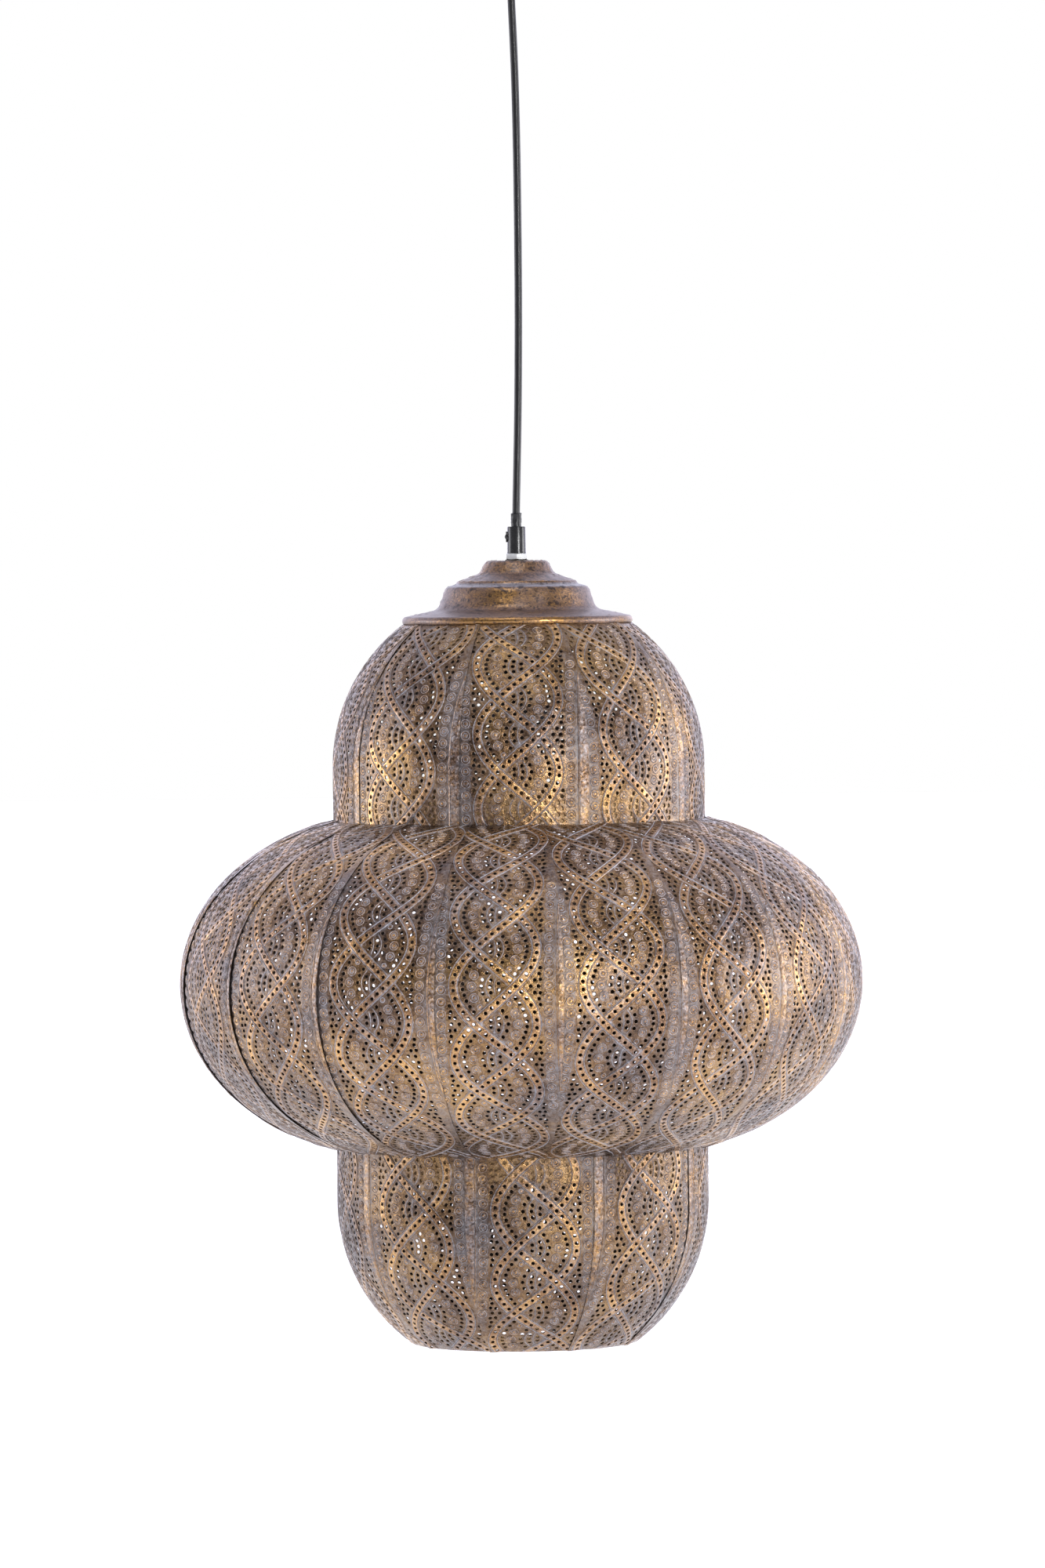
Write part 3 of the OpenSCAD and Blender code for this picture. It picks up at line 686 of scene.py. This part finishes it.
def stamped_strip(tier, phase, seed):
    """One flat strip in millimetres: points across, along and above the sheet, patina, triangles."""
    length, widest, reach = tier["length"], tier["widest"], tier["reach"]
    low, high = tier["low"], tier["high"]
    start = phase - repeat / 2

    def share(s):
        return np.interp(s, tier["s"], tier["r"]) / widest

    def left(s):
        return (0.4 - centre_from_edge) * share(s)

    def right(s):
        return reach * share(s)

    def lap_edge(s):
        return (lap - centre_from_edge) * share(s)

    def within(u, s, room):
        return (s > low + room) & (s < high - room) & (u > left(s) + room) & (u < right(s) - room)

    # What is punched and stamped
    holes, bosses, lines = [], [], []
    first, last = math.floor((low - phase) / repeat) - 1, math.ceil((high - phase) / repeat) + 1
    for k in range(2 * first, 2 * last + 1):
        level = phase + k * repeat / 2
        flip = 1 if k % 2 == 0 else -1
        for u, s in fan_holes + notch_holes:
            holes += [(flip * u, level + s)] + ([(flip * u, level - s)] if s else [])
        holes.append((flip * swing / 2, level))
        for u, s, r in fan_bosses:
            bosses += [(flip * u, level + s, r)] + ([(flip * u, level - s, r)] if s else [])
        for line in fan_lines:
            lines.append([(flip * u, level + s) for u, s in line])
    turn = 2 * np.pi / (3 * repeat)
    for k in range(3):
        for round_trip in range(-3, 6):
            for from_angle, to_angle, count in ((-60, 60, 11), (60, 120, 7), (120, 240, 11), (240, 300, 7)):
                angles = np.radians(np.linspace(from_angle, to_angle, 90) + 360 * round_trip)
                along = start + (angles + k * 2 * np.pi / 3) / turn
                across = swing * np.cos(angles)
                run = distances(np.stack([across, along], axis=1))
                for i in range(1, count):
                    at = run[-1] * i / count
                    holes.append((np.interp(at, run, across), np.interp(at, run, along)))
    for side in (-1, 1):
        for i in range(math.ceil((low - 2) / column_pitch), math.floor((high + 2) / column_pitch) + 1):
            bosses.append((side * column_u, i * column_pitch + 1.5 * side, column_r))
    holes = [h for h in holes if within(h[0], h[1], dish_r + 0.4) and h[0] > lap_edge(h[1]) - 1]
    bosses = [b for b in bosses if within(b[0], b[1], b[2] + 0.4) and b[0] > lap_edge(b[1]) - 2]

    # The outer face: outline, loops, lines and loose points
    points, edges, loop_of = [], [], []

    def add(new, closed=False, loop=-1, drawn=True):
        base = len(points)
        points.extend(tuple(p) for p in new)
        loop_of.extend([loop] * len(new))
        if drawn:
            edges.extend((base + i, base + i + 1) for i in range(len(new) - 1))
            if closed:
                edges.append((base + len(new) - 1, base))
        return list(range(base, base + len(new)))

    steps = int(length / 4)
    rises = np.linspace(low, high, steps + 1)
    wide = [int((right(s) - left(s)) / 4) for s in (low, high)]
    border = [(left(low) + (right(low) - left(low)) * i / wide[0], low) for i in range(wide[0])]
    border += [(right(s), s) for s in rises[:-1]]
    border += [(right(high) - (right(high) - left(high)) * i / wide[1], high) for i in range(wide[1])]
    border += [(left(s), s) for s in rises[:0:-1]]
    border_ids = add(border, closed=True)
    hole_ids = [add(circle(u, s, dish_r, 8, 0.39), loop=i, drawn=False) for i, (u, s) in enumerate(holes)]
    boss_ids = [add(circle(u, s, r, 14 if r > 3 else 10), closed=True, loop=len(holes) + i)
                for i, (u, s, r) in enumerate(bosses)]
    taken = np.array(holes + [(u, s) for u, s, _ in bosses])
    taken_r = np.array([dish_r] * len(holes) + [r for _, _, r in bosses])

    def clear(u, s, room):
        return np.all(np.hypot(taken[:, 0] - u, taken[:, 1] - s) > taken_r + room)

    along = np.arange(low - 4, high + 4, 1.7)
    for k in range(3):
        middle, slope = band_at(k, along, start)
        size = np.sqrt(1 + slope ** 2)
        for off in band_lines:
            for side in (-1, 1):
                u, s = middle + side * off / size, along - side * off * slope / size
                ok = within(u, s, 0.5)
                for other in range(3):
                    if other != k:
                        away, other_slope = off_band(other, u, s, start)
                        over = (np.sign(other_slope) == np.sign(u)) & (np.abs(u) > 4)
                        ok &= ~(over & (away < band_lines[-1] + 0.25))
                for part in runs(zip(u, s), ok):
                    add(part)
    extra = {}
    for line in lines:
        curve = np.array(line)
        run = distances(curve)
        at = np.linspace(0, run[-1], int(run[-1] / 1.6) + 1)
        smooth = np.stack([np.interp(at, run, curve[:, 0]), np.interp(at, run, curve[:, 1])], axis=1)
        way = np.gradient(smooth, axis=0)
        way /= np.hypot(way[:, 0], way[:, 1])[:, None]
        for off, rise in ((-0.42, 0), (0, 0.32), (0.42, 0)):
            shifted = [tuple(p) for p in smooth + off * np.stack([way[:, 1], -way[:, 0]], axis=1)]
            if all(within(u, s, 0.6) and clear(u, s, 0.02) for u, s in shifted):
                for i in add(shifted):
                    extra[i] = (rise, 0.9 if rise else 0.3)
    chance = np.random.default_rng(seed)
    for off, rise in ((-0.55, 0), (0, 0.42), (0.55, 0)):
        line = [(hem_u + off, s) for s in np.arange(low + 1, high - 1, 2.2)]
        for part in runs(line, [within(u, s, 0.6) for u, s in line]):
            for i in add(part):
                extra[i] = (rise, 0.0 if rise else 0.55)
    for s in np.arange(low + 1, high - 1, 1.35):
        for column in np.arange(hem_u + 1.5, reach, 1.3):
            u, v = column + chance.uniform(-0.3, 0.3), s + chance.uniform(-0.35, 0.35)
            if within(u, v, 0.5):
                i = add([(u, v)], drawn=False)[0]
                rise = chance.choice([0.02, 0.36]) + chance.uniform(-0.05, 0.1)
                extra[i] = (rise, chance.uniform(0.0, 0.5))
    used = np.array(points)
    for s in np.arange(low + 3, high - 2, 4.2):
        for u in np.arange(-48, 50, 4.2) + (2.1 if int(s / 4.2) % 2 else 0):
            if within(u, s, 1.2) and clear(u, s, 0.8) \
                    and np.min(np.hypot(used[:, 0] - u, used[:, 1] - s)) > 1.1:
                add([(u, s)], drawn=False)

    def on_sheet(u, s):
        return (s > low - 1e-6) & (s < high + 1e-6) & (u > left(s) - 1e-3) & (u < right(s) + 1e-3)

    coords, faces, found = triangulated(points, edges, loop_of, on_sheet)
    height, patina = pattern_height(coords[:, 0], coords[:, 1], start)
    for i, (rise, tone) in extra.items():
        height[found[i]], patina[found[i]] = rise, tone
    for i in border_ids:
        height[found[i]] *= 0.3

    # Rings of the bosses and the dished rims of the holes
    new_u, new_s, new_h, new_p, new_faces = [], [], [], [], []

    def ring(loop, low_h, tone):
        base = len(coords) + len(new_u)
        new_u.extend(loop[:, 0])
        new_s.extend(loop[:, 1])
        new_h.extend([low_h] * len(loop))
        new_p.extend([tone] * len(loop))
        return list(range(base, base + len(loop)))

    def bridge(outer, inner):
        count = len(outer)
        for i in range(count):
            j = (i + 1) % count
            new_faces.extend([(outer[i], outer[j], inner[j]), (outer[i], inner[j], inner[i])])

    for (u, s, r), ids in zip(bosses, boss_ids):
        outer = [found[i] for i in ids]
        ground = patina[outer[0]]
        for part, rise, tone in boss_rings[r > 3]:
            inner = ring(circle(u, s, r * part, len(ids)), rise, tone if tone > 0.2 else ground * tone)
            bridge(outer, inner)
            outer = inner
        top = ring(np.array([(u, s)]), 0.42, 0.0)[0]
        for i in range(len(outer)):
            new_faces.append((outer[i], outer[(i + 1) % len(outer)], top))
    rims = []
    for (u, s), ids in zip(holes, hole_ids):
        outer = [found[i] for i in ids]
        rise = float(np.mean(height[outer]))
        tone = float(np.mean(patina[outer]))
        inner = ring(circle(u, s, hole_r, 8, 0.39), rise - 0.16, min(1, tone + 0.1))
        bridge(outer, inner)
        rims.append(inner)

    # The inner face, with the same outline and holes but no stamping
    points_in, loop_in = list(border), [-1] * len(border)
    edges_in = [(i, (i + 1) % len(border)) for i in range(len(border))]
    hole_in = []
    for i, (u, s) in enumerate(holes):
        hole_in.append(list(range(len(points_in), len(points_in) + 8)))
        points_in += [tuple(p) for p in circle(u, s, hole_r, 8, 0.39)]
        loop_in += [i] * 8
    hole_array = np.array(holes)
    for s in np.arange(low + 3, high - 2, 6.3):
        for u in np.arange(-48, 50, 6.3):
            if within(u, s, 1.5) \
                    and np.min(np.hypot(hole_array[:, 0] - u, hole_array[:, 1] - s)) > 2.6:
                points_in.append((u, s))
                loop_in.append(-1)
    coords_in, faces_in, found_in = triangulated(points_in, edges_in, loop_in, on_sheet)
    base_in = len(coords) + len(new_u)
    u = np.concatenate([coords[:, 0], new_u, coords_in[:, 0]])
    s = np.concatenate([coords[:, 1], new_s, coords_in[:, 1]])
    h = np.concatenate([height, new_h, np.full(len(coords_in), -sheet)])
    p = np.concatenate([patina, new_p, np.full(len(coords_in), 0.1)])
    walls = []
    outer_border = [found[i] for i in border_ids]
    inner_border = [base_in + found_in[i] for i in range(len(border))]
    for i in range(len(border)):
        j = (i + 1) % len(border)
        walls += [(outer_border[j], outer_border[i], inner_border[i]),
                  (outer_border[j], inner_border[i], inner_border[j])]
    for rim, ids in zip(rims, hole_in):
        inner = [base_in + found_in[i] for i in ids]
        for i in range(8):
            j = (i + 1) % 8
            walls += [(rim[i], rim[j], inner[j]), (rim[i], inner[j], inner[i])]
    triangles = np.concatenate([faces, np.array(new_faces), faces_in[:, ::-1] + base_in, np.array(walls)])
    # The stamping dies out where the next lap hides it
    hidden = np.clip((u - lap_edge(s)) / 1.2 + 1, 0, 1)
    h = np.where(h > -0.3, h * hidden, h)
    return {"u": u, "s": s, "h": h, "p": p, "faces": triangles}


def tier(points, middle, count, level, edge):
    """A tier's outline by the distance along it: radius, height and outward direction."""
    points = np.array(points)
    run = distances(points)
    way = np.gradient(points, axis=0)
    way /= np.hypot(way[:, 0], way[:, 1])[:, None]
    s, r = run - run[middle], points[:, 0]
    widest = float(np.max(r))
    pitch = 2 * math.pi * widest / count
    return {"s": s, "r": r, "z": points[:, 1], "out_r": way[:, 1], "out_z": -way[:, 0], "widest": widest,
            "count": count, "pitch": pitch, "low": float(s[0]), "high": float(s[-1]),
            "length": float(s[-1] - s[0]), "reach": pitch + lap - centre_from_edge,
            "level": level * MM, "edge": math.radians(edge)}


cup_r, cup_rise, skirt_h = 136, 131.6, 43
neck_r, mouth_r = 84, 82
belly_core, belly_bulge, belly_rise, belly_end_r = 95, 155, 124.4, 137.7


def cup_line(end_r):
    """Half of a cup's outline: a straight skirt, then an arch in to the end's radius."""
    angles = np.radians(np.linspace(0, math.degrees(math.acos(end_r / cup_r)), 60))
    arc = [(cup_r * math.cos(a), skirt_h + cup_rise * math.sin(a)) for a in angles]
    return [(cup_r, 0), (cup_r, 20)] + arc


belly_end = math.acos((belly_end_r - belly_core) / belly_bulge)
belly_line = [(belly_core + belly_bulge * math.cos(a), belly_rise * math.sin(a))
              for a in np.linspace(-belly_end, belly_end, 241)]
tiers = {
    "upper": tier(cup_line(neck_r), 0, 9, -669.35, -68.3),
    "belly": tier(belly_line, 120, 17, -785.93, -83.0),
    "lower": tier(cup_line(mouth_r), 0, 9, -902.5, -68.0),
}


def bent(flat, tier, lift):
    """The flat strip bent to its tier, with its lap raised over the next strip."""
    r, z, out_r, out_z = (np.interp(flat["s"], tier["s"], tier[key]) for key in ("r", "z", "out_r", "out_z"))
    across = flat["u"] * tier["widest"] / r + centre_from_edge
    ramp_up = np.clip((across - (tier["pitch"] - 7.5)) / 7.5, 0, 1)
    ramp_up = 0.62 * ramp_up * ramp_up * (3 - 2 * ramp_up)
    far = np.clip((across - tier["pitch"]) / lap, 0, 1)
    share = (flat["s"] - tier["low"]) / tier["length"]
    rise = ramp_up + flat["h"] * np.where(flat["h"] > -0.3, 1.4, 1)
    rise = rise + lift * far * np.sin(np.pi * np.clip(share * 1.1, 0, 1)) ** 2
    angle = across / tier["widest"]
    radius = r + rise * out_r
    return np.stack([radius * np.cos(angle), radius * np.sin(angle), z + rise * out_z], axis=1)

brass, tree, shader = new_material("pierced_brass")
place = node(tree, "ShaderNodeTexCoord").outputs["Object"]
patina = node(tree, "ShaderNodeAttribute", attribute_name="patina").outputs["Fac"]
relief = node(tree, "ShaderNodeAttribute", attribute_name="relief").outputs["Fac"]
clouds = noise(tree, place, 16.0, 6.0, 0.68)
drifts = noise(tree, place, 48.0, 4.0, 0.6)
specks = noise(tree, place, 520.0, 4.0, 0.7)
wrinkles = noise(tree, place, 300.0, 3.0, 0.6, Distortion=1.2)
bare = maths(tree, "SUBTRACT", maths(tree, "ADD", drifts, wrinkles), 1.0)
spread = maths(tree, "MULTIPLY_ADD", bare, 1.05, patina)
amount = maths(tree, "MULTIPLY_ADD", maths(tree, "SUBTRACT", specks, 0.5), 0.9, spread, clamp=True)
tone = maths(tree, "ADD", clouds, maths(tree, "MULTIPLY_ADD", wrinkles, 0.6, -0.3))
rubbed = ramp(tree, tone, (0.34, (0.105, 0.053, 0.028)), (0.5, (0.29, 0.153, 0.060)),
              (0.68, (0.64, 0.37, 0.128)))
crust = ramp(tree, specks, (0.3, (0.15, 0.148, 0.17)), (0.7, (0.45, 0.45, 0.51)))
# Painted shade: the inner face is darkened to 0.12 and the sunk ground to about half, while the raised tops
# stay full.
shade = ramp(tree, relief, (0.0, 0.12), (0.2, 0.16), (0.25, 0.52), (0.5, 0.78), (0.85, 1.0))
# Painted light and shade by height: brighter on the belly's top, darker on the lower cup and toward the neck.
level = node(tree, "ShaderNodeSeparateXYZ", {"Vector": place}).outputs["Z"]
painted_light_by_height = ramp(tree, mapped(tree, level, -1.05, -0.52), (0.0, 0.8), (0.29, 0.76), (0.4, 0.9), (0.56, 1.0),
              (0.69, 1.2), (0.72, 0.95), (0.9, 0.95), (1.0, 0.78))
painted_shading = blend(tree, 1.0, shade, painted_light_by_height, "MULTIPLY")
fill(tree, shader, {
    "Base Color": blend(tree, 1.0, blend(tree, amount, rubbed, crust), painted_shading, "MULTIPLY"),
    "Metallic": ramp(tree, amount, (0.1, 0.9), (0.8, 0.3)),
    "Roughness": ramp(tree, amount, (0.0, 0.27), (0.8, 0.55)),
    "Coat Weight": 0.45, "Coat Roughness": 0.35})
bumps(tree, shader, (wrinkles, 0.9, 0.0008), (specks, 0.5, 0.0004))


def set_strip(name, tier, flat, lift, turn, upside_down):
    """Makes one strip's mesh, turned to its place round the lantern."""
    places = bent(flat, tier, lift) * MM
    if upside_down:
        places = places * np.array([1, -1, -1])
    c, d = math.cos(turn), math.sin(turn)
    x, y = places[:, 0] * c - places[:, 1] * d, places[:, 0] * d + places[:, 1] * c
    z = places[:, 2] + tier["level"]
    around = np.arctan2(y, x)
    wave = 1 + 0.0014 * np.sin(5 * around + 11 * z) * np.sin(9 * z + 2 * around + 0.7)
    mesh = bpy.data.meshes.new(name)
    faces = flat["faces"]
    mesh.vertices.add(len(x))
    mesh.vertices.foreach_set("co", np.stack([x * wave, y * wave, z], axis=1).ravel())
    mesh.loops.add(len(faces) * 3)
    mesh.loops.foreach_set("vertex_index", faces.ravel())
    mesh.polygons.add(len(faces))
    mesh.polygons.foreach_set("loop_start", np.arange(len(faces)) * 3)
    mesh.update(calc_edges=True)
    # Relief value for the painted shade: 0 on the inner face, 0.25 on the sunk ground, up to 1 on the raised
    # tops.
    lit = np.where(flat["h"] < -0.3, 0, 0.25 + 0.75 * np.clip(flat["h"] / 0.42, 0, 1))
    for attribute, values in (("patina", flat["p"]), ("relief", lit)):
        mesh.attributes.new(attribute, "FLOAT", "POINT").data.foreach_set("value", values.astype(np.float32))
    strip = bpy.data.objects.new(name, mesh)
    bpy.context.collection.objects.link(strip)
    smoothed(strip, 38)
    return strip


flats = {
    "upper": [stamped_strip(tiers["upper"], 14.5, 3)],
    "belly": [stamped_strip(tiers["belly"], 12.0, 5), stamped_strip(tiers["belly"], 9.6, 6)],
    "lower": [stamped_strip(tiers["lower"], 15.0, 4)],
}
lifted_strips = (12, 13, 14, 15)
chance = np.random.default_rng(11)
for tier_name, shape in tiers.items():
    lap_turn = lap / shape["widest"]
    for i in range(1, shape["count"] + 1):
        flat = flats[tier_name][chance.integers(len(flats[tier_name]))]
        lift = chance.uniform(0.0, 0.5)
        if tier_name == "belly" and i in lifted_strips:
            lift = 1.3
        upside_down = tier_name == "lower"
        turn = shape["edge"] + (lap_turn if upside_down else -lap_turn)
        turn += (i if upside_down else i - 1) * 2 * math.pi / shape["count"]
        strip = set_strip(f"pierced_{tier_name}_{i}", shape, flat, lift, turn, upside_down)
        dressed(strip, "lantern", "pierced_brass", brass, stands_for=[f"{tier_name}_strip_{i}"])

# --------------------------------------
# Collars, rings and crossbar: brass strip rolled into hoops and soldered inside the strips' ends,
# and a flat bar across the top one that hangs the shade on the threaded tube.
# --------------------------------------
dull_brass = mottled("ring_brass", (0.15, 0.092, 0.048), (0.33, 0.21, 0.10), 60, (0.4, 0.58), metal=0.85,
                     bump=0.25, depth=0.00015, fine=600)
for name, source in (("collar_top", "top_collar"), ("rings_between", "joint_rings"),
                     ("collar_mouth", "mouth_collar"), ("bar_across", "crossbar")):
    dressed(eased(name, source, 0.25, 1), "lantern", "ring_brass", dull_brass, stands_for=[source])

# --------------------------------------
# Lampholder: black phenolic cap and ribbed ring, a glazed ceramic insert, and the brass screw
# shell with its rolled thread and centre contact. The cap screws on the long tube.
# --------------------------------------
phenolic = mottled("holder_black", (0.012, 0.011, 0.011), (0.024, 0.022, 0.021), 90, (0.22, 0.34),
                   bump=0.08, depth=0.00006, fine=700)
holder_z = -538.02
holder = turned("holder_top", [(r, holder_z - h) for r, h in (
    (5.1, 0), (7.5, 0), (8, 0.5), (8, 8.2), (8.6, 9), (12, 9.5), (15.2, 11), (17.2, 13.5), (18, 16.5),
    (18, 30.5), (17.8, 31), (16, 31), (16, 15), (12, 11), (5.1, 11), (5.1, 0))], sides=64)
dressed(holder, "lantern", "holder_black", phenolic, stands_for=["holder_cap"])

ribs = 96
ring = turned("holder_skirt", [
    (18.25, -561.4), (19.5, -561.02), (20, -561.6), (20, -564), (19.95, -564.4), (19.95, -590.6),
    (20, -591), (20, -593.2), (19.2, -594.02), (14.7, -594.02), (14.15, -593.5), (14.15, -569.02),
    (18.25, -568.6), (18.25, -561.4)], sides=ribs)
fluted(ring, -590.8, -564.2, 19.9, 0.5, ribs)
dressed(ring, "lantern", "holder_black", phenolic, stands_for=["holder_ring"])

glaze = mottled("ceramic", (0.74, 0.72, 0.66), (0.84, 0.82, 0.77), 120, (0.12, 0.2), bump=0.06,
                depth=0.00008, fine=350)
dressed(eased("insert_glazed", "holder_insert", 0.3), "lantern", "ceramic", glaze,
        stands_for=["holder_insert"])

shell_top, shell_l = -569.32, 22
shell_r, thread_depth, thread_pitch = 13.85, 0.3, 3.63
shell_line = [(shell_r + thread_depth * math.cos(2 * math.pi * h / thread_pitch), shell_top - h)
              for h in np.arange(0, shell_l + 0.01, 0.5)]
shell = turned("shell_rolled", shell_line, sides=64)
walled(shell, 0.3, inwards=True)
button = turned("centre_contact", [
    (0, -566.8), (3.6, -566.8), (4, -567.1), (4, -567.7), (3.6, -568.0), (1.9, -568.1), (1.6, -568.8),
    (1.0, -569.0), (0, -569.02)], sides=32)
dressed(joined(shell, button), "lantern", "yellow_brass", turned_brass, stands_for=["holder_contacts"])

# --------------------------------------
# Floor and light: a white floor, soft lamps at both sides of the camera and a pale room.
# --------------------------------------
floor_level = -1.5
bpy.ops.object.select_all(action="DESELECT")
bpy.ops.mesh.primitive_plane_add(size=60, location=(0, 0, floor_level))
floor = bpy.context.object
floor.name = "floor"
floor_white = mottled("floor_white", (0.84, 0.84, 0.84), (0.88, 0.88, 0.88), 1.5, (0.7, 0.9), bump=0.0)
floor_tree = floor_white.node_tree
fill(floor_tree, floor_tree.nodes["Principled BSDF"],
     {"Emission Color": (0.97, 0.97, 1, 1), "Emission Strength": 0.68})
floor.data.materials.append(floor_white)

world = bpy.data.worlds.new("room")
bpy.context.scene.world = world
world.use_nodes = True
tree = world.node_tree
tree.nodes.clear()
way = node(tree, "ShaderNodeTexCoord").outputs["Generated"]
split = node(tree, "ShaderNodeSeparateXYZ", {"Vector": way})
low_wall = ramp(tree, split.outputs["Z"], (0.0, 1.0), (0.25, 1.0), (0.7, 0.6))
from_front = mapped(tree, split.outputs["Y"], -1.0, 1.0)
wall = ramp(tree, from_front, (0.0, 0.16), (0.25, 0.28), (0.55, (1.08, 1.07, 1.28)), (1.0, (1.8, 1.78, 2.2)))
glow = blend(tree, 1.0, low_wall, wall, "MULTIPLY")
seen = node(tree, "ShaderNodeLightPath").outputs["Is Camera Ray"]
backdrop = blend(tree, seen, glow, low_wall)
sky = node(tree, "ShaderNodeBackground", {"Color": backdrop, "Strength": 1.0})
node(tree, "ShaderNodeOutputWorld", {"Surface": sky.outputs["Background"]})


def soft_lamp(name, azimuth, elevation, distance, size, power):
    a, e = math.radians(azimuth), math.radians(elevation)
    aim = Vector((0, 0, -0.75))
    place = aim + distance * Vector((math.sin(a) * math.cos(e), -math.cos(a) * math.cos(e), math.sin(e)))
    bpy.ops.object.select_all(action="DESELECT")
    bpy.ops.object.light_add(type="AREA", location=place)
    lamp = bpy.context.object
    lamp.name = name
    lamp.rotation_mode = "QUATERNION"
    lamp.rotation_quaternion = (aim - place).to_track_quat("-Z", "Y")
    lamp.data.shape = "DISK"
    lamp.data.size = size
    lamp.data.energy = power


soft_lamp("key_lamp", 30, 12, 2.8, 0.7, 46)
soft_lamp("right_lamp", 95, 6, 2.6, 1.4, 40)
soft_lamp("left_lamp", -98, 6, 2.6, 1.4, 26)
soft_lamp("top_lamp", -10, 62, 2.6, 1.6, 20)
bpy.context.scene.view_settings.view_transform = "Standard"
